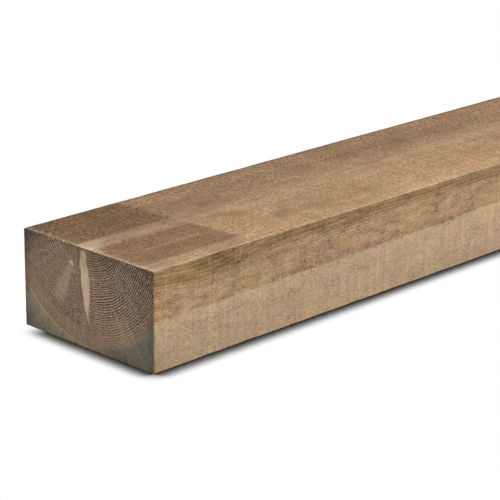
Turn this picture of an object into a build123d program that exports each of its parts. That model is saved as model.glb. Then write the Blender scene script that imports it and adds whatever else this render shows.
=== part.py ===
"""A garden railway sleeper: one balk of sawn, pressure-treated softwood.

The balk lies on its broad face. Its length runs along X, its width along Y and its thickness along Z.
The origin is in the middle of the underside.
"""

import os

from build123d import *

# The balk as it is sold, in millimetres
length = 2400.0
width = 220.0
thickness = 120.0

# The four long arrises, rubbed round by stacking and handling
arris_radius = 2.5

# The rims of the two crosscut ends, which the saw leaves almost sharp
end_rim_chamfer = 0.8

# The sawn section stands on the floor, square to the length, and runs half the length each way
with BuildPart() as sleeper:
    with BuildSketch(Plane.YZ) as sawn_section:
        with Locations((0, thickness / 2)):
            RectangleRounded(width, thickness, arris_radius)
    extrude(amount=length / 2, both=True)
    crosscut_ends = sleeper.faces().filter_by(Axis.X)
    chamfer(crosscut_ends.edges(), length=end_rim_chamfer)

sleeper.part.label = "sleeper"

os.makedirs("parts", exist_ok=True)
export_step(sleeper.part, "parts/sleeper.step")
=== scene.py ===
"""A garden railway sleeper of sawn, pressure-treated softwood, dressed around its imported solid."""

import math

import bpy
import numpy as np
from mathutils import Matrix, Vector, noise


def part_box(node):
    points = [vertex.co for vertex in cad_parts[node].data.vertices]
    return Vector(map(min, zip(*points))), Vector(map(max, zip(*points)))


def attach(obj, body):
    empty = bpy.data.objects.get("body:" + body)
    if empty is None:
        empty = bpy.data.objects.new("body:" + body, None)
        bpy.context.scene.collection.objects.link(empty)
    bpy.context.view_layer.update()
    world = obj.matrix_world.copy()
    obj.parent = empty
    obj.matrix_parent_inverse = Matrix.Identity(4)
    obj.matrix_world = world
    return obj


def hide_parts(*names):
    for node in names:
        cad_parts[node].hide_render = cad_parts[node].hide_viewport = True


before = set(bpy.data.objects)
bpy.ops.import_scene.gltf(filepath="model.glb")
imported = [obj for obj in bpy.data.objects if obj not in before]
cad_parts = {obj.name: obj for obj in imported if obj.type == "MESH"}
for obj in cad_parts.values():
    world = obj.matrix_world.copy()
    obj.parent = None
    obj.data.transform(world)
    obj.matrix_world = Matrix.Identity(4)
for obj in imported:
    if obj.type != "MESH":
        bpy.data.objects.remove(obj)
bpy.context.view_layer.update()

# The balk is one length of softwood, sawn square from beside the heart of a log and steeped in
# preservative. The frame saw leaves its long faces rough, stacking rubs the long arrises round, and the
# crosscut saw leaves both ends nearly sharp, with torn fibres where the blade came out.

MM = 0.001
low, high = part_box("sleeper")
half_length = high.x
half_width = high.y
thickness = high.z

# The skin is a lattice whose lines lie closer together towards the edges
finest_step = 0.5 * MM
coarsest_step_along = 11.5 * MM
coarsest_step_across = 4.2 * MM
growth_along = 1.04
growth_across = 1.17


def stations(start, end, coarsest, growth):
    """Places from start to end, close together near both and wider apart between them."""
    half = (end - start) / 2
    steps = [finest_step]
    while sum(steps) < half:
        steps.append(min(steps[-1] * growth, coarsest))
    places = np.concatenate(([0.0], np.cumsum(steps)))
    places *= half / places[-1]
    return np.concatenate((start + places, end - places[-2::-1]))


def quads(sheet):
    """The faces between the rows and columns of a sheet of vertex numbers."""
    corners = (sheet[:-1, :-1], sheet[1:, :-1], sheet[1:, 1:], sheet[:-1, 1:])
    return np.stack(corners, -1).reshape(-1, 4)


along = stations(low.x, high.x, coarsest_step_along, growth_along)
across = stations(low.y, high.y, coarsest_step_across, growth_across)
upward = stations(low.z, high.z, coarsest_step_across, growth_across)
on_skin = np.ones((len(along), len(across), len(upward)), bool)
on_skin[1:-1, 1:-1, 1:-1] = False
number = np.full(on_skin.shape, -1)
number[on_skin] = np.arange(on_skin.sum())
lattice = np.stack(np.meshgrid(along, across, upward, indexing="ij"), -1)[on_skin]
sheets = {
    "top": number[:, :, -1],
    "underside": number[:, :, 0].T,
    "near_side": number[:, 0],
    "far_side": number[:, -1].T,
    "shown_end": number[0].T,
    "far_end": number[-1],
}


def rough(places, sizes, octaves=1):
    """Noise from about -1 to 1 at each place, whose lumps have those sizes along X, Y and Z."""
    octave_fall = 1.0
    octave_step = 2.0
    scaled = places / np.array(sizes)
    return np.array([noise.fractal(Vector(spot), octave_fall, octave_step, octaves) for spot in scaled])


# Handling wears the long arrises wider in places, and the crosscut leaves the rims of the ends ragged
arris_radius = 0.8 * MM
arris_wear = 1.2 * MM
worn_stretch = (45 * MM, 30 * MM, 30 * MM)
least_wear = 0.15
rim_radius = 0.2 * MM
rim_wear = 0.5 * MM
rag_size = (8 * MM, 8 * MM, 8 * MM)
wear = np.clip(rough(lattice, worn_stretch, 3) + least_wear, 0, 1)
arris = arris_radius + arris_wear * wear
rim = rim_radius + rim_wear * np.clip(rough(lattice, rag_size, 2), 0, 1)

# The blade came out at the far upright rim, near the top, where it tore the fibres
torn_depth = 0.9 * MM
torn_height = 45 * MM
torn_reach = 7 * MM
tear_size = (5 * MM, 5 * MM, 5 * MM)
least_tear = 0.2
near_torn = np.clip(1 - np.abs(high.y - lattice[:, 1]) / torn_reach, 0, 1)
near_torn *= np.clip(1 - (high.z - lattice[:, 2]) / torn_height, 0, 1) * (lattice[:, 0] < 0)
rim += torn_depth * near_torn * np.clip(rough(lattice, tear_size, 2) + least_tear, 0, 1)

# Each point of the section is drawn from the core that its arris rounds
smallest_reach = 1e-9
section_low = np.stack((low.y + arris, low.z + arris), -1)
section_high = np.stack((high.y - arris, high.z - arris), -1)
section_core = np.clip(lattice[:, 1:], section_low, section_high)
section_out = lattice[:, 1:] - section_core
reach = np.linalg.norm(section_out, axis=1)
outward = section_out / np.maximum(reach, smallest_reach)[:, None]
to_skin = np.abs(section_out).max(1)
from_end = half_length - np.abs(lattice[:, 0])
from_side = half_width - np.abs(lattice[:, 1])
from_flat = np.minimum(lattice[:, 2], thickness - lattice[:, 2])


def rounding(depth):
    """How far the rim draws a face in, at each depth from the edge."""
    left = np.clip(rim - depth, 0, rim)
    return rim - np.sqrt(rim**2 - left**2)


on_end = from_end < finest_step / 10
skin_inset = rounding(from_end) * ~on_end
end_inset = rounding(np.minimum(from_side, from_flat)) * on_end

# The frame saw's strokes leave shallow waves across the long faces, over slow unevenness
unevenness = 0.2 * MM
stroke_depth = 0.1 * MM
stroke_pitch = 7.0 * MM
lean_depth = 6 * MM
lean_stretch = (400 * MM, 90 * MM, 90 * MM)
uneven_stretch = (160 * MM, 45 * MM, 45 * MM)
stroke_lean = lean_depth * rough(lattice, lean_stretch)
slow = unevenness * (1 + rough(lattice, uneven_stretch, 2)) / 2
strokes = stroke_depth * (1 + np.sin(2 * math.pi * (lattice[:, 0] + stroke_lean) / stroke_pitch)) / 2
sawn = np.clip(slow, 0, None) + strokes

# A splinter is missing from the lower rim of the shown end
nick_across = -65 * MM
nick_up = 1.5 * MM
nick_middle = np.array((low.x, nick_across, nick_up))
nick_radius = 4.5 * MM
nick_depth = 2.5 * MM
nick = nick_depth * np.clip(1 - np.linalg.norm(lattice - nick_middle, axis=1) / nick_radius, 0, 1)

points = lattice.copy()
drawn_in = to_skin - skin_inset - (sawn * (reach > 0) + nick) * ~on_end
points[:, 1:] = section_core + outward * np.maximum(drawn_in, 0)[:, None]
points[:, 0] -= np.sign(lattice[:, 0]) * on_end * (end_inset + np.clip(slow, 0, None) + nick)

sharpest_bend = 40
balk_mesh = bpy.data.meshes.new("sleeper_timber")
balk_faces = np.concatenate([quads(sheet) for sheet in sheets.values()])
balk_mesh.from_pydata(points.tolist(), [], balk_faces.tolist())
balk_mesh.shade_smooth()
balk_mesh.set_sharp_from_angle(angle=math.radians(sharpest_bend))
balk = bpy.data.objects.new("sleeper_timber", balk_mesh)
bpy.context.scene.collection.objects.link(balk)

# The map that the finish is baked on: the long faces lie one above another, and the ends, whose rings are
# fine, stand below them at a larger scale
long_share = 0.62
map_gap = 0.004
flat_axes = {"top": (0, 1), "underside": (0, 1), "near_side": (0, 2), "far_side": (0, 2)}
strip_scale = long_share / (4 * half_width + 2 * thickness)
tiles = {"shown_end": (0.0, 0.0, 0.5, 1 - long_share), "far_end": (0.5, 0.0, 1.0, 1 - long_share)}
strip_foot = 1 - long_share
for name, (_, axis) in flat_axes.items():
    strip_head = strip_foot + strip_scale * (high[axis] - low[axis])
    tiles[name] = (0.0, strip_foot, 1.0, strip_head)
    strip_foot = strip_head
map_places = []
for name, sheet in sheets.items():
    axes = list(flat_axes.get(name, (1, 2)))
    spots = lattice[quads(sheet).ravel()][:, axes]
    corner = np.array([low[axis] for axis in axes])
    span = np.array([high[axis] for axis in axes]) - corner
    tile_low = np.array(tiles[name][:2]) + map_gap
    tile_high = np.array(tiles[name][2:]) - map_gap
    map_places.append(tile_low + (spots - corner) / span * (tile_high - tile_low))
bake_map = balk_mesh.uv_layers.new(name="OFBake")
bake_map.uv.foreach_set("vector", np.concatenate(map_places).astype(np.float32).ravel())


def sum_node(operation, swapped=False):
    """A Python operator that adds one Math node."""

    def apply(self, other=0.0):
        pair = (other, self) if swapped else (self, other)
        return self.node("Math", {"operation": operation}, dict(enumerate(pair)))

    return apply


def socket_of(sockets, key):
    """The socket of that number, or the first one in use with that name."""
    if isinstance(key, int):
        return sockets[key]
    return next(socket for socket in sockets if socket.enabled and socket.name == key)


class Wire:
    """A node's output socket. Python's operators on it add Math nodes."""

    def __init__(self, tree, socket=None):
        self.tree = tree
        self.socket = socket

    def node(self, kind, settings, sockets, output=0):
        """Adds a node: its settings are set first, then its sockets get their values or links."""
        made = self.tree.nodes.new("ShaderNode" + kind)
        for name, setting in settings.items():
            setattr(made, name, setting)
        for key, value in sockets.items():
            socket = socket_of(made.inputs, key)
            if isinstance(value, Wire):
                self.tree.links.new(value.socket, socket)
            else:
                socket.default_value = value
        return Wire(self.tree, socket_of(made.outputs, output) if made.outputs else None)

    __add__ = __radd__ = sum_node("ADD")
    __sub__ = sum_node("SUBTRACT")
    __rsub__ = sum_node("SUBTRACT", swapped=True)
    __mul__ = __rmul__ = sum_node("MULTIPLY")
    __truediv__ = sum_node("DIVIDE")
    __pow__ = sum_node("POWER")
    __mod__ = sum_node("FLOORED_MODULO")
    __abs__ = sum_node("ABSOLUTE")


def paint(red, green, blue):
    """A colour as a screen shows it, from 0 to 255, in the linear values that a shader takes."""
    shares = [value / 255 for value in (red, green, blue)]
    linear = [s / 12.92 if s <= 0.04045 else ((s + 0.055) / 1.055) ** 2.4 for s in shares]
    return (*linear, 1.0)


def blotches(place, size, detail=0.0, roughness=0.5):
    """Soft noise, mostly from -0.25 to 0.25, whose lumps are size across."""
    sockets = {"Vector": place, "Scale": 1 / size, "Detail": detail, "Roughness": roughness}
    return place.node("TexNoise", {}, sockets) - 0.5


def step(value, start, end):
    """Rises smoothly from 0 to 1 while the value goes from start to end."""
    sockets = {"Value": value, "From Min": start, "From Max": end}
    return value.node("MapRange", {"interpolation_type": "SMOOTHSTEP"}, sockets)


def band(value, middle, half_width, softness):
    """1 within half a width of the middle, falling smoothly to 0 over the softness outside it."""
    return step(abs(value - middle), half_width + softness, half_width)


def mix(share, first, second, way="MIX"):
    """The first colour with a share of the second laid over it."""
    wire = next(value for value in (share, first, second) if isinstance(value, Wire))
    settings = {"data_type": "RGBA", "blend_type": way}
    return wire.node("Mix", settings, {"Factor": share, "A": first, "B": second}, "Result")


def times(vector, factors):
    """A vector with its three parts multiplied by three factors."""
    return vector.node("VectorMath", {"operation": "MULTIPLY"}, {0: vector, 1: factors})


timber = bpy.data.materials.new("treated_softwood")
timber.use_nodes = True
timber.node_tree.nodes.clear()
wood = Wire(timber.node_tree)


def parts(vector, axes="XYZ"):
    """A vector's parts along those axes."""
    return [vector.node("SeparateXYZ", {}, {"Vector": vector}, axis) for axis in axes]


# Places are in millimetres, in the frame of the solid. A mark of the finish is given by a pair, which says
# where it begins and where it is full, or by three numbers: the middle of a band, half its width and its
# soft edge. A face counts as end, side or top by the way that its normal leans.
face_lean = (0.55, 0.8)
end_skin = (0, 8, 20)
place = times(wood.node("TexCoord", {}, {}, "Object"), (1 / MM, 1 / MM, 1 / MM))
x, y, z = parts(place)
facing_x, facing_y, facing_z = parts(wood.node("TexCoord", {}, {}, "Normal"))
end_grain = step(abs(facing_x), *face_lean)
side_face = step(abs(facing_y), *face_lean)
top_face = step(facing_z, *face_lean)
inward = x + half_length / MM
depth = thickness / MM - z
across_end = half_width / MM - y
near_shown_end = band(inward, *end_skin)


def along_grain(stretch):
    """Places for noise that is drawn out along the grain, which runs along X."""
    return times(place, (1 / stretch, 1, 1))


def across_grain(stretch):
    """Places for noise that is drawn out across the grain, as the strokes of the saw are."""
    return times(place, (1, 1 / stretch, 1 / stretch))


def distance(first, second):
    """How far a place is from a middle, from its distances along two axes."""
    return (first * first + second * second) ** 0.5


bent = along_grain(7)
drawn = along_grain(25)

# Growth rings lie round a pith just above the top face, which drifts a little along the length.
# The trunk swells near the shown end, so the rings dip there at the top of the near side.
pith_across = -1.0
pith_up = 147.0
drift_across = 0.008
drift_up = -0.006
flattening = 0.962
swell_height = 10
swell_along = (85, 0, 110)
swell_up = (70, 95)
swell = swell_height * band(inward, *swell_along) * step(z, *swell_up)
pith_y = y - pith_across - inward * drift_across
pith_z = (pith_up + inward * drift_up - z - swell) * flattening
round_pith = distance(pith_y, pith_z)
ray_angle = pith_y.node("Math", {"operation": "ARCTAN2"}, {0: pith_y, 1: pith_z})

# Branches left a few small knots in the far length. Each is a cone from the pith outwards that the rings
# bend round, given by its place along the balk, its angle round the pith and its radius.
knots = (
    (960, 0.65, 13),
    (1310, -1.05, 17),
    (1330, 0.15, 12),
    (1720, 1.1, 15),
    (2050, -0.5, 14),
    (2075, 0.95, 11),
)
knot_lean = 0.25
knot_root_share = 0.3
knot_spread = 170
knot_push = 9
knot_bend_shares = (3.5, 0.8)
knot_fray = 0.4 * blotches(bent, size=6) + 0.5 * blotches(place, size=5, detail=2.0)
knot_share = None
for knot_inward, knot_angle, knot_radius in knots:
    knot_along = inward - knot_inward - knot_lean * round_pith
    knot_round = (ray_angle - knot_angle) * round_pith
    knot_size = knot_radius * (knot_root_share + round_pith / knot_spread)
    share = distance(knot_along, knot_round) / knot_size + knot_fray
    if knot_share is not None:
        share = share.node("Math", {"operation": "MINIMUM"}, {0: share, 1: knot_share})
    knot_share = share
knot_bend = step(knot_share, *knot_bend_shares)

# The first years grew wide and flat, no two years grew alike, and the rings wander more in the far length.
# They are narrower towards the far side, and the saw's teeth fray them on the ends.
flat_share = 0.18
flat_depths = (55, 5)
flat_across = (-75, -25)
unrest_near = 3
unrest_more = 7
unrest_along = (200, 800)
unrest_width = 80
waver = 1.8
waver_width = 17
far_rings_across = (0, 40)
flat_years = flat_share * step(depth, *flat_depths) * step(y, *flat_across)
unrest = unrest_near + unrest_more * step(inward, *unrest_along)
trunk_radius = distance(pith_y * (1 - flat_years), pith_z) - knot_push * knot_bend
trunk_radius = trunk_radius + unrest * blotches(bent, size=unrest_width)
trunk_radius = trunk_radius + waver * blotches(bent, size=waver_width)
far_rings = step(y, *far_rings_across)
fine_fray = 2.0 - 0.9 * far_rings
frayed = fine_fray * blotches(place, size=1.6) + 0.8 * blotches(place, size=5.0)
ring_radius = trunk_radius + 1.2 * blotches(drawn, size=3.5) + end_grain * frayed

# A ring begins as pale early wood and ends as dark late wood. On the long faces it shows as two fine lines.
ring_width = 2.85
narrow_share = 0.06
narrow_across = (-60, 60)
years_alike = 18
late_rise_shares = (0.1, 0.6)
late_fall_shares = (1.0, 0.8)
line_rise_shares = (0.3, 0.75)
line_fall_shares = (1.0, 0.85)
far_narrowing = narrow_share * step(y, *narrow_across)
by_radius = {"noise_dimensions": "1D"}
years = wood.node("TexNoise", by_radius, {"W": trunk_radius / years_alike, "Scale": 1.0, "Detail": 1.0})
ring_count = ring_radius * (1.0 + far_narrowing) / ring_width + 0.8 * years
ring_share = ring_count % 1.0
ring_number = ring_count - ring_share
ring_strength = 0.86 + 0.28 * wood.node("TexWhiteNoise", by_radius, {"W": ring_number})
late_wood = step(ring_share, *late_rise_shares) * step(ring_share, *late_fall_shares) * ring_strength
line_share = (2 * ring_count) % 1.0
late_line = step(line_share, *line_rise_shares) * step(line_share, *line_fall_shares) * ring_strength

# Sapwood lies outside the heartwood, whose last rings are weak
sap_radius = 138.7
last_radii = (sap_radius - 6, 8, 8)
deep_radii = (sap_radius, sap_radius + 38)
near_third_across = (-30, -60)
last_heart_across = (-60, 0)
near_third = step(y, *near_third_across)
sap_blur = 0.8 + 3 * end_grain * near_third
sap_edge = trunk_radius + 2 * blotches(place, size=3) + 1.3 * side_face - sap_radius
sap_wood = step(sap_edge / sap_blur, -1.0, 1.0)
last_heart = band(trunk_radius, *last_radii) * (0.3 + 0.7 * step(y, *last_heart_across))
deep_sap = step(trunk_radius, *deep_radii)

# End grain: dark late wood, gritty from the saw, with sharp rings at the top of the near half, weak ones in
# the sapwood, in the last heartwood and at the far rim, one pale ray, and a rough heart
sharp_depths = (110, 25)
sharp_across = (15, -45)
quiet_from_rim = (48, 12)
heart_radii = (62, 36)
ray_length = 3000
ray_width = 0.055
pale_ray_start = (50, 62)
pale_ray_end = (120, 95)
pale_ray_angles = (0.51, 0.03, 0.1)
far_heart_across = (20, 60)
grit = blotches(place, size=1.5, detail=2.0, roughness=0.7)
lumps = blotches(place, size=6.0, detail=2.0)
clouds = blotches(place, size=40.0, detail=1.0)
ray_place = wood.node("CombineXYZ", {}, {"X": ray_angle, "Y": x / ray_length})
rays = blotches(ray_place, size=ray_width, detail=2.0)
sharp_rings = step(depth, *sharp_depths) * step(y, *sharp_across)
quiet_edge = step(across_end, *quiet_from_rim)
rough_heart = step(round_pith + 30 * lumps, *heart_radii)
ray_reach = step(round_pith, *pale_ray_start) * step(round_pith, *pale_ray_end)
pale_ray = band(ray_angle, *pale_ray_angles) * ray_reach * near_shown_end
sap_calm = 0.75 - 0.3 * near_third
heart_calm = 0.7 - 0.3 * step(y, *far_heart_across)
ring_contrast = 0.74 + 0.6 * sharp_rings + 0.45 * far_rings + 0.6 * clouds + 0.7 * lumps
ring_contrast = ring_contrast * (1 - sap_calm * sap_wood)
ring_contrast = ring_contrast * (1 - heart_calm * last_heart) * (1 - 0.5 * pale_ray)
ring_contrast = ring_contrast * (1 - 0.15 * quiet_edge) * (1 - 0.25 * rough_heart)

# The end's colours: greyer early wood where the rings are sharp, a pink blush below, green-grey sapwood
blush_across = (-28, 14, 22)
blush_depths = (20, 50)
dark_heart_across = (2, -8)
grey_sap_across = (20, -60)
late_brown = paint(82, 64, 50)
early_tan = paint(184, 158, 129)
early_pink = paint(192, 151, 124)
early_grey = paint(172, 149, 127)
last_heart_olive = paint(155, 134, 107)
rough_heart_brown = paint(130, 108, 82)
far_sap_cream = paint(160, 145, 123)
near_sap_grey = paint(128, 121, 108)
deep_sap_green = paint(120, 116, 98)
blush = band(y, *blush_across) * step(depth, *blush_depths) * (0.7 + 2 * lumps)
heart_darkening = 0.4 + 0.25 * step(y, *dark_heart_across)
early_wood = mix(0.7 * blush, early_tan, early_pink)
early_wood = mix(sharp_rings, early_wood, early_grey)
early_wood = mix(0.6 * last_heart, early_wood, last_heart_olive)
early_wood = mix(heart_darkening * rough_heart, early_wood, rough_heart_brown)
end_heart = mix(ring_contrast * late_wood, early_wood, late_brown)
end_sap = mix(step(y, *grey_sap_across), far_sap_cream, near_sap_grey)
end_sap = mix(deep_sap, end_sap, deep_sap_green)
end_sap = mix(0.4 * ring_contrast * late_wood, end_sap, late_brown)
end_colour = mix(sap_wood, end_heart, end_sap)

# The end is brightest beside the heart and over the far rings, and darker by its near upright rim
bright_across = -46
bright_depth = 46
bright_radii = (68, 10)
upright_across = (-65, -90)
corner_depths = (24, 4)
corner_across = (-20, -60)
bright_heart = step(distance(y - bright_across, depth - bright_depth), *bright_radii)
near_upright = step(y, *upright_across)
upper_corner = step(depth, *corner_depths) * step(y, *corner_across)
end_tone = 1 + 2.8 * grit * (1 - 0.5 * sap_wood) * (1 - 0.3 * far_rings)
end_tone = end_tone + 0.8 * lumps + 0.6 * rays + 0.06 * pale_ray - 0.04 * quiet_edge + 0.06 * sharp_rings
end_tone = end_tone + (0.25 * bright_heart + 0.22 * far_rings - 0.09 * near_upright) * (1 - sap_wood)
end_tone = end_tone - 0.1 * upper_corner

# The sapwood begins with a pale line, and the outline of the end is darker, with painted shade darkening
# and greying its far upright rim, which turns away from the light
line_radii = (sap_radius + 0.5, 0.4, 1.0)
line_across = (-30, 10)
weather_lean = 0.8
weather_reach = (65, 5)
far_rim_shade_reach = (15, 2)
end_outline_across = (97, 109)
end_outline_depths = (9, -1)
far_rim_shade_grey_depths = (90, 50)
far_rim_shade_grey = paint(128, 115, 102)
sap_line = band(trunk_radius, *line_radii) * step(y, *line_across)
weathered = step(across_end * weather_lean + depth + 60 * clouds, *weather_reach)
# Painted shade along the far upright rim of the end, darker and greyer
far_rim_shade = step(across_end + 25 * clouds, *far_rim_shade_reach)
# The end is darker along both upright rims and along its top rim
darker_end_outline = step(abs(y) + 30 * clouds, *end_outline_across) + 0.7 * step(depth + 25 * clouds, *end_outline_depths)
end_tone = (end_tone + 0.35 * sap_line) * (1 - 0.25 * darker_end_outline)
end_tone = end_tone * (1 - 0.49 * weathered) * (1 - 0.12 * far_rim_shade)
end_colour = mix(0.5 * far_rim_shade * step(depth, *far_rim_shade_grey_depths), end_colour, far_rim_shade_grey)

# A young branch died beside the pith: its pale trace runs down the shown end as a lens
trace_across = 6.5
trace_lean = 0.085
trace_half_width = 6.8
trace_half_depth = 50
trace_middle_depth = 40
trace_tip_depths = (5, 0)
trace_rim = (1.4, -1.4)
trace_fade_depths = (66, 90)
outline_across = (8.5, 0.6, 1.5)
outline_depths = (75, 45)
trace_tone_depths = (14, 34)
trace_cream = paint(222, 194, 163)
trace_middle = trace_across - trace_lean * depth + 5 * blotches(place, size=14)
trace_depth = (depth - trace_middle_depth) / trace_half_depth
trace_edge = abs(y - trace_middle) - trace_half_width * (1 - trace_depth * trace_depth)
trace_edge = trace_edge + 5 * step(depth, *trace_tip_depths) + 6 * grit
trace = step(trace_edge, *trace_rim) * (1 - 0.45 * step(depth, *trace_fade_depths)) * near_shown_end
trace_outline = band(y - trace_middle, *outline_across) * step(depth, *outline_depths) * near_shown_end
trace_tone = 0.78 + 0.22 * step(depth, *trace_tone_depths) + 0.8 * grit + 0.5 * lumps

# A small torn fleck lies beside the trace. It has three straight edges, each with its own slope.
fleck_across = 77
fleck_depth = 21
fleck_near_across = 85
fleck_near_depth = 19
fleck_top_slope = 0.25
fleck_near_slope = 0.375
fleck_foot_slope = 0.545
fleck_edge = (-0.5, 0.8)
fleck_cream = paint(206, 182, 148)
fleck_top = depth - fleck_depth + fleck_top_slope * (across_end - fleck_across)
fleck_near = fleck_near_across + fleck_near_slope * (depth - fleck_near_depth) - across_end
fleck_foot = fleck_depth + fleck_foot_slope * (across_end - fleck_across) - depth
fleck = step(fleck_top, *fleck_edge) * step(fleck_near, *fleck_edge) * step(fleck_foot, *fleck_edge)
fleck = fleck * near_shown_end
end_colour = mix(trace, end_colour, trace_cream)
end_colour = mix(fleck, end_colour, fleck_cream)
end_tone = end_tone * (1 - 0.32 * trace_outline)
end_tone = end_tone + trace * (trace_tone - end_tone) + fleck * 0.8 * (1 - end_tone)

# Long faces: torn fibres over the rings, brown specks where the saw plucked them out, faint saw strokes
rosy_range = (-0.15, 0.15)
near_dots_along = (132, 20, 16)
near_dots_across = (-68, 12, 10)
far_dots_along = (150, 175)
far_dots_across = (50, 14, 16)
top_pluck_range = (0.13, 0.27)
side_pluck_range = (0.15, 0.3)
heart_tan = paint(180, 150, 111)
heart_rose = paint(185, 149, 117)
sap_cream = paint(186, 161, 126)
sap_rose = paint(190, 160, 130)
fibres = blotches(along_grain(2), size=1.5, detail=3.0, roughness=0.7)
nap = blotches(along_grain(2), size=3.0, detail=2.0, roughness=0.65)
patches = blotches(along_grain(3), size=9.0, detail=2.0)
drifts = blotches(along_grain(6), size=60.0, detail=2.0)
rosy = step(blotches(along_grain(3), size=13.0, detail=2.0), *rosy_range)
saw_bands = blotches(across_grain(30), size=7.0, detail=2.0)
saw_strokes = blotches(across_grain(30), size=2.2, detail=1.0)
gathered = blotches(along_grain(2), size=28.0, detail=1.0)
side_plucks = blotches(along_grain(2.2), size=1.7, detail=1.0)
top_plucks = blotches(along_grain(2), size=2.6, detail=1.0, roughness=0.6)
streaks = blotches(along_grain(40), size=4.0, detail=1.0)
near_dots = band(inward, *near_dots_along) * band(y, *near_dots_across)
far_dots = step(inward, *far_dots_along) * band(y, *far_dots_across)
top_specks = step(top_plucks + 0.8 * gathered + 0.06 * (near_dots + far_dots), *top_pluck_range)
side_specks = step(side_plucks + 1.2 * gathered - 0.03 * sap_wood, *side_pluck_range)
specks = side_specks + top_face * (top_specks - side_specks)
long_heart = mix(rosy, heart_tan, heart_rose)
long_sap = mix(rosy, sap_cream, sap_rose)
long_colour = mix(sap_wood, long_heart, long_sap)
figure = (0.3 - late_line) * (1 - 0.7 * sap_wood)
long_tone = 1 + (1 - 0.15 * sap_wood) * fibres + (0.6 - 0.25 * top_face) * nap
long_tone = long_tone + 0.4 * drifts + 0.28 * saw_strokes + 0.3 * saw_bands
long_tone = long_tone + 1.15 * patches * (1 - 0.75 * sap_wood) * (1 - 0.5 * top_face)
long_tone = long_tone + 0.5 * fibres * side_face * (1 - sap_wood)

# The top: a pale stripe over the pith that widens to a patch at the shown end, a darker far half, and a
# red-brown stain over the first stretch with a scratch along it
stripe_across = (5, 9, 9)
stripe_along = (200, 120)
bleached_across = (-82, -92)
edge_strip_across = (-97, -105)
stain_along = (157, 146)
stain_lean = 0.09
inner_streak_across = (-20, 8, 6)
outer_streak_across = (-68, 11, 6)
scratch_across = (-47, 0.8, 1.8)
scratch_along = (88, 34, 16)
patch_length = 42
patch_side = 18
patch_shares = (1.2, 0.7)
patch_across = (24, 16)
far_stretch_along = (140, 165)
far_edge_across = (70, 95)
outer_far_across = (90, 12, 10)
inner_far_across = (25, 20, 20)
middle_rise_across = (60, -20)
near_rise_across = (-40, -90)
pale_rim_along = (45, 8)
pale_rim_across = (-10, 55, 25)
top_cast = (1.0, 0.945, 0.92, 1)
stain_cast = paint(184, 174, 168)
stripe_grey = paint(172, 150, 127)
edge_strip_cream = paint(192, 168, 138)
bleached_grey = paint(176, 156, 134)
end_patch_cream = paint(200, 176, 149)
scratch_cream = paint(200, 174, 148)
wander = y + 10 * blotches(bent, size=30)
heart_stripe = band(wander + 12 * nap, *stripe_across) * (0.6 + 0.4 * step(inward, *stripe_along))
bleached_edge = step(wander, *bleached_across)
edge_strip = step(y + 12 * nap, *edge_strip_across) * top_face
stain_edge = inward + stain_lean * y + 12 * blotches(place, size=14, detail=2.0)
stained = step(stain_edge, *stain_along) * top_face
stain_strength = 0.7 - 0.38 * heart_stripe - 0.5 * bleached_edge
stain_strength = stain_strength + 0.1 * band(wander, *inner_streak_across)
stain_strength = stain_strength + 0.12 * band(wander, *outer_streak_across)
long_colour = mix(0.8 * top_face, long_colour, top_cast, "MULTIPLY")
stain_brown = mix(1.0, long_colour, stain_cast, "MULTIPLY")
long_colour = mix(stained * stain_strength, long_colour, stain_brown)
long_colour = mix(0.28 * heart_stripe * top_face, long_colour, stripe_grey)
long_colour = mix(0.3 * edge_strip, long_colour, edge_strip_cream)
long_colour = mix(0.18 * bleached_edge * stained, long_colour, bleached_grey)
scratch = band(y + 3 * blotches(bent, size=40), *scratch_across) * band(inward, *scratch_along)
patch_reach = inward / patch_length + (patch_side - y) / patch_length + 0.8 * lumps
end_patch = step(patch_reach, *patch_shares) * step(y, *patch_across) * top_face
long_colour = mix(0.5 * end_patch, long_colour, end_patch_cream)
long_colour = mix(0.22 * scratch * stained * (1 + 4 * nap), long_colour, scratch_cream)
far_stretch = step(inward, *far_stretch_along)
far_edge = step(y, *far_edge_across) * (1 - far_stretch)
far_bands = 0.05 * band(y, *outer_far_across) + 0.04 * band(y, *inner_far_across)
across_rise = 0.3 * step(y, *middle_rise_across) + 0.17 * step(y, *near_rise_across)
across_tone = 0.75 - 0.04 * far_edge + across_rise + 0.03 * heart_stripe + far_stretch * far_bands
across_tone = across_tone * (1 + 0.2 * figure * (1 - 0.8 * heart_stripe) + 0.3 * streaks)
mottling = (2.0 + 0.2 * stained) * (1 - 0.7 * end_patch) * (1 - 0.3 * heart_stripe)
across_tone = across_tone + mottling * top_plucks
pale_rim = step(inward, *pale_rim_along) * band(y, *pale_rim_across)
top_tone = across_tone * (1 + 0.12 * scratch + 0.17 * end_patch + 0.08 * pale_rim)

# The sides: browner above, where the cut runs along the rings, and warm beside the shown end.
# Dirt has gathered in an olive patch under the near arris, and the saw left one wide pale stroke.
upper_heights = (101, 106)
olive_along = 84
olive_half_length = 52
olive_middle_depth = 11
olive_half_depth = 12
olive_shares = (1.3, 0.3)
pale_stroke_along = (91, 4, 2)
pale_stroke_depths = (22, 30)
under_arris_depths = (5, 3, 4)
under_arris_along = (60, 110)
foot_shade_and_dirt_depths = (72, 118)
lower_corner_along = (40, 5)
lower_corner_depths = (80, 112)
warm_along = (8, 3, 9)
warm_depths = (46, 9, 9)
warm_tan = paint(190, 146, 98)
upper_brown = paint(172, 134, 93)
patch_olive = paint(150, 120, 70)
speck_brown = paint(120, 84, 56)
upper_side = step(z + swell + 6 * blotches(bent, size=9, detail=1.0), *upper_heights) * side_face
olive_inward = (inward - olive_along) / olive_half_length
olive_depth = (depth - olive_middle_depth) / olive_half_depth
olive_reach = olive_inward * olive_inward + olive_depth * olive_depth + 4 * patches
olive_patch = step(olive_reach, *olive_shares) * side_face
pale_stroke = band(inward, *pale_stroke_along) * step(depth, *pale_stroke_depths)
under_arris = band(depth, *under_arris_depths) * step(inward, *under_arris_along)
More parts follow.
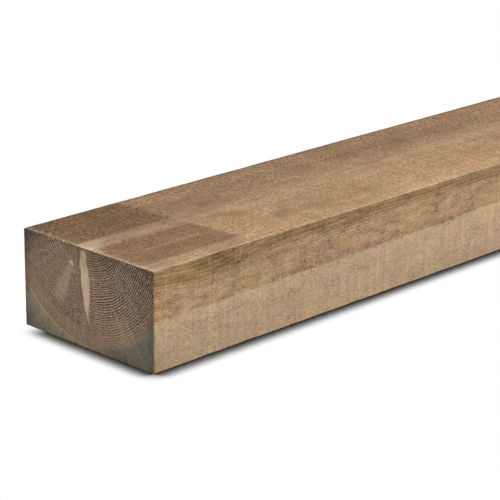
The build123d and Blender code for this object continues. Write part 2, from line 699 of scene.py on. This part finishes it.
# The sides darken towards the bottom, partly as painted shade near the floor and partly as dirt
foot_shade_and_dirt = step(depth, *foot_shade_and_dirt_depths)
lower_corner = step(inward, *lower_corner_along) * step(depth, *lower_corner_depths)
side_tone = (0.8 - 0.1 * upper_side) * (1 + (0.2 + 0.12 * upper_side) * figure)
side_tone = side_tone + sap_wood * (0.96 - side_tone)
side_marks = 1 - 0.06 * olive_patch + 0.06 * pale_stroke - 0.1 * under_arris - 0.11 * foot_shade_and_dirt
side_tone = side_tone * side_marks - 0.09 * lower_corner
warm_corner = band(inward, *warm_along) * band(depth, *warm_depths) * side_face
long_colour = mix(0.5 * warm_corner, long_colour, warm_tan)
long_colour = mix(0.7 * upper_side, long_colour, upper_brown)
long_colour = mix(0.35 * olive_patch, long_colour, patch_olive)
long_colour = mix((0.5 - 0.15 * sap_wood) * specks, long_colour, speck_brown)

# Knots are brown and ringed, with a darker rim and a brown halo
knot_rim_shares = (1.0, 0.02, 0.22)
knot_halo_shares = (2.6, 1.2)
knot_face_shares = (1.25, 0.95)
knot_light = paint(164, 121, 83)
knot_dark = paint(140, 98, 65)
knot_rim_brown = paint(100, 71, 50)
knot_halo_brown = paint(152, 116, 80)
rings_in_knot = 4.0
knot_rings = (knot_share * rings_in_knot) % 1.0
knot_rim = band(knot_share, *knot_rim_shares)
knot_halo = step(knot_share, *knot_halo_shares)
knot_face = step(knot_share, *knot_face_shares)
knot_colour = mix(knot_rings, knot_light, knot_dark)
knot_colour = mix(0.8 * knot_rim, knot_colour, knot_rim_brown)
long_colour = mix(0.25 * knot_halo, long_colour, knot_halo_brown)
long_colour = mix(0.9 * knot_face, long_colour, knot_colour)

# The near arris carries a painted highlight where its rounding catches the key lamp, and the far one grey
# painted shade where it turns away from the light. The side beside the shown end carries a strip of painted
# shade, and the rim of the shown end is frayed pale on the top, with a painted highlight along its edge.
near_arris_highlight_reach = (-4.0, -1.0)
near_arris_highlight_across = (20, -20)
far_arris_shade_reach = (-7.0, -2.0)
fringe_along = (13, 1)
frayed_rim_and_highlight_along = (3.5, 1.0)
side_corner_shade_along = (5.0, 0.5)
fringe_cream = paint(194, 170, 148)
frayed_rim_and_highlight_cream = paint(206, 186, 168)
far_arris_shade_grey = paint(128, 116, 100)
side_corner_shade_olive = paint(132, 122, 92)
from_arris = abs(y) - half_width / MM - depth
# Painted highlight along the near arris, lightening the top and side beside it
near_arris_highlight = step(from_arris + 5 * nap, *near_arris_highlight_reach) * step(y, *near_arris_highlight_across)
# Painted shade along the far top arris, grey and darker
far_arris_shade = step(y - half_width / MM - depth + 6 * nap, *far_arris_shade_reach)
fringe = step(inward - 30 * nap, *fringe_along) * top_face
# A thin pale line at the rim of the shown end: frayed fibres with a painted highlight along the edge
frayed_rim_and_highlight = step(inward - 8 * nap, *frayed_rim_and_highlight_along) * top_face
# Painted shade in a darker olive strip on the side beside the shown end
side_corner_shade = step(inward, *side_corner_shade_along) * side_face
long_colour = mix(0.4 * fringe, long_colour, fringe_cream)
long_colour = mix(0.5 * frayed_rim_and_highlight, long_colour, frayed_rim_and_highlight_cream)
long_colour = mix(0.6 * far_arris_shade, long_colour, far_arris_shade_grey)
long_colour = mix(0.5 * side_corner_shade, long_colour, side_corner_shade_olive)
edge_tone = 1 + 0.14 * near_arris_highlight - 0.14 * far_arris_shade - 0.16 * side_corner_shade
long_tone = long_tone * (1 + top_face * (top_tone - 1)) * (1 + side_face * (side_tone - 1)) * edge_tone
colour = mix(end_grain, long_colour, end_colour)
tone = long_tone + end_grain * (end_tone - long_tone)
colour = mix(1.0, colour, tone, "MULTIPLY")

# Relief: late wood stands proud, and the saw leaves the fibres rough
relief_depth = MM
wood_roughness = 0.85
wood_shine = 0.15
end_height = 0.2 * late_wood + 0.8 * grit
long_height = 0.15 * late_line + 0.9 * fibres + 0.5 * nap - 0.25 * specks + 0.3 * saw_strokes
height = long_height + end_grain * (end_height - long_height)
bump = wood.node("Bump", {}, {"Distance": relief_depth, "Height": height})
roughness = wood_roughness + 0.3 * fibres
surface = {"Base Color": colour, "Roughness": roughness, "Specular IOR Level": wood_shine, "Normal": bump}
shader = wood.node("BsdfPrincipled", {}, surface)
wood.node("OutputMaterial", {}, {"Surface": shader})
balk_mesh.materials.append(timber)

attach(balk, "root")
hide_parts("sleeper")

# The floor is a plain white sheet, wide enough for the camera to see nothing else beneath the balk.
# It is lit as any surface is. What the camera sees of it is lifted to white, with a soft shadow under the
# balk: dark in front, beginning a little way in from the far corner, and weaker along the hidden sides.
floor_reach = 40.0
floor_corners = [(-floor_reach, -floor_reach, 0), (floor_reach, -floor_reach, 0)]
floor_corners += [(floor_reach, floor_reach, 0), (-floor_reach, floor_reach, 0)]
floor_mesh = bpy.data.meshes.new("floor")
floor_mesh.from_pydata(floor_corners, [], [(0, 1, 2, 3)])
floor = bpy.data.objects.new("floor", floor_mesh)
bpy.context.scene.collection.objects.link(floor)


def seen_directly(wire):
    """1 on what the camera sees, also in a reflection or through glass, and 0 on what only gives light."""
    paths = ("Is Camera Ray", "Is Glossy Ray", "Is Transmission Ray")
    return sum(wire.node("LightPath", {}, {}, path) for path in paths)


floor_white = bpy.data.materials.new("floor_white")
floor_white.use_nodes = True
floor_white.node_tree.nodes.clear()
sheet = Wire(floor_white.node_tree)
white = paint(255, 255, 255)
shadow_brown = paint(44, 36, 27)
floor_grey = (0.8, 0.8, 0.8, 1)
towards_balk = {"X": 0.664, "Y": 0.664, "Z": 0.342}
shadow_reach = 28.5 * MM
shadow_samples = {"samples": 16}
contact_range = (0.99, 0.47)
shadow_curve = 1.4
corner_gap = 6 * MM
corner_fade = 42 * MM
back_reach = 18 * MM
back_range = (1.0, 0.5)
back_strength = 0.5
back_start = 5 * MM
back_full = 50 * MM
floor_x, floor_y = parts(sheet.node("TexCoord", {}, {}, "Object"), "XY")
lean = sheet.node("CombineXYZ", {}, towards_balk)
contact = sheet.node("AmbientOcclusion", shadow_samples, {"Distance": shadow_reach, "Normal": lean}, "AO")
in_front = step(floor_y, half_width - corner_gap, half_width - corner_fade)
front_shade = step(contact, *contact_range) ** shadow_curve * in_front
all_round = sheet.node("AmbientOcclusion", shadow_samples, {"Distance": back_reach}, "AO")
past_end = step(floor_x, back_start - half_length, back_full - half_length)
soft_shade = back_strength * step(all_round, *back_range) * past_end
shade = sheet.node("Math", {"operation": "MAXIMUM"}, {0: front_shade, 1: soft_shade})
contact_shadow = mix(shade, white, shadow_brown)
lit = sheet.node("BsdfDiffuse", {}, {"Color": floor_grey})
shown = sheet.node("Emission", {}, {"Color": contact_shadow, "Strength": 1.0})
floor_surface = sheet.node("MixShader", {}, {0: seen_directly(sheet), 1: lit, 2: shown})
sheet.node("OutputMaterial", {}, {"Surface": floor_surface})
floor_mesh.materials.append(floor_white)

# Soft studio light: a white room fills the shadows from all sides, and shows as a pure white backdrop.
# A broad key lamp stands high in front of the near side, a little towards the far end.
fill_strength = 0.6
backdrop_strength = 1.0
key_strength = 0.55 * math.pi
key_breadth = 40
key_direction = Vector((0.25, -0.75, 0.61))
world = bpy.data.worlds.new("studio")
bpy.context.scene.world = world
world.use_nodes = True
world.node_tree.nodes.clear()
room = Wire(world.node_tree)
fill = room.node("Background", {}, {"Color": white, "Strength": fill_strength})
backdrop = room.node("Background", {}, {"Color": white, "Strength": backdrop_strength})
room_light = room.node("MixShader", {}, {0: seen_directly(room), 1: fill, 2: backdrop})
room.node("OutputWorld", {}, {"Surface": room_light})

key_light = bpy.data.lights.new("key", "SUN")
key_light.energy = key_strength
key_light.angle = math.radians(key_breadth)
key = bpy.data.objects.new("key", key_light)
key.rotation_mode = "QUATERNION"
key.rotation_quaternion = key_direction.to_track_quat("Z", "Y")
bpy.context.scene.collection.objects.link(key)

# The camera stands a little over 2 m off the corner between the shown end and the near side, at hip height,
# and looks down at that corner through a long lens. The picture keeps the colours as they are.
eye = Vector((-2.6127, -1.6248, 0.8384))
heading = math.radians(-45.924)
dip = math.radians(18.490)
roll = math.radians(0.566)
sensor_width = 36.0
lens = 144.51
view_camera = bpy.data.cameras.new("camera")
view_camera.sensor_width = sensor_width
view_camera.lens = lens
camera = bpy.data.objects.new("camera", view_camera)
ahead = Vector((-math.sin(heading) * math.cos(dip), math.cos(heading) * math.cos(dip), -math.sin(dip)))
aim = ahead.to_track_quat("-Z", "Y").to_matrix().to_4x4()
camera.matrix_world = Matrix.Translation(eye) @ aim @ Matrix.Rotation(roll, 4, "Z")
bpy.context.scene.collection.objects.link(camera)
bpy.context.scene.camera = camera
bpy.context.scene.view_settings.view_transform = "Standard"
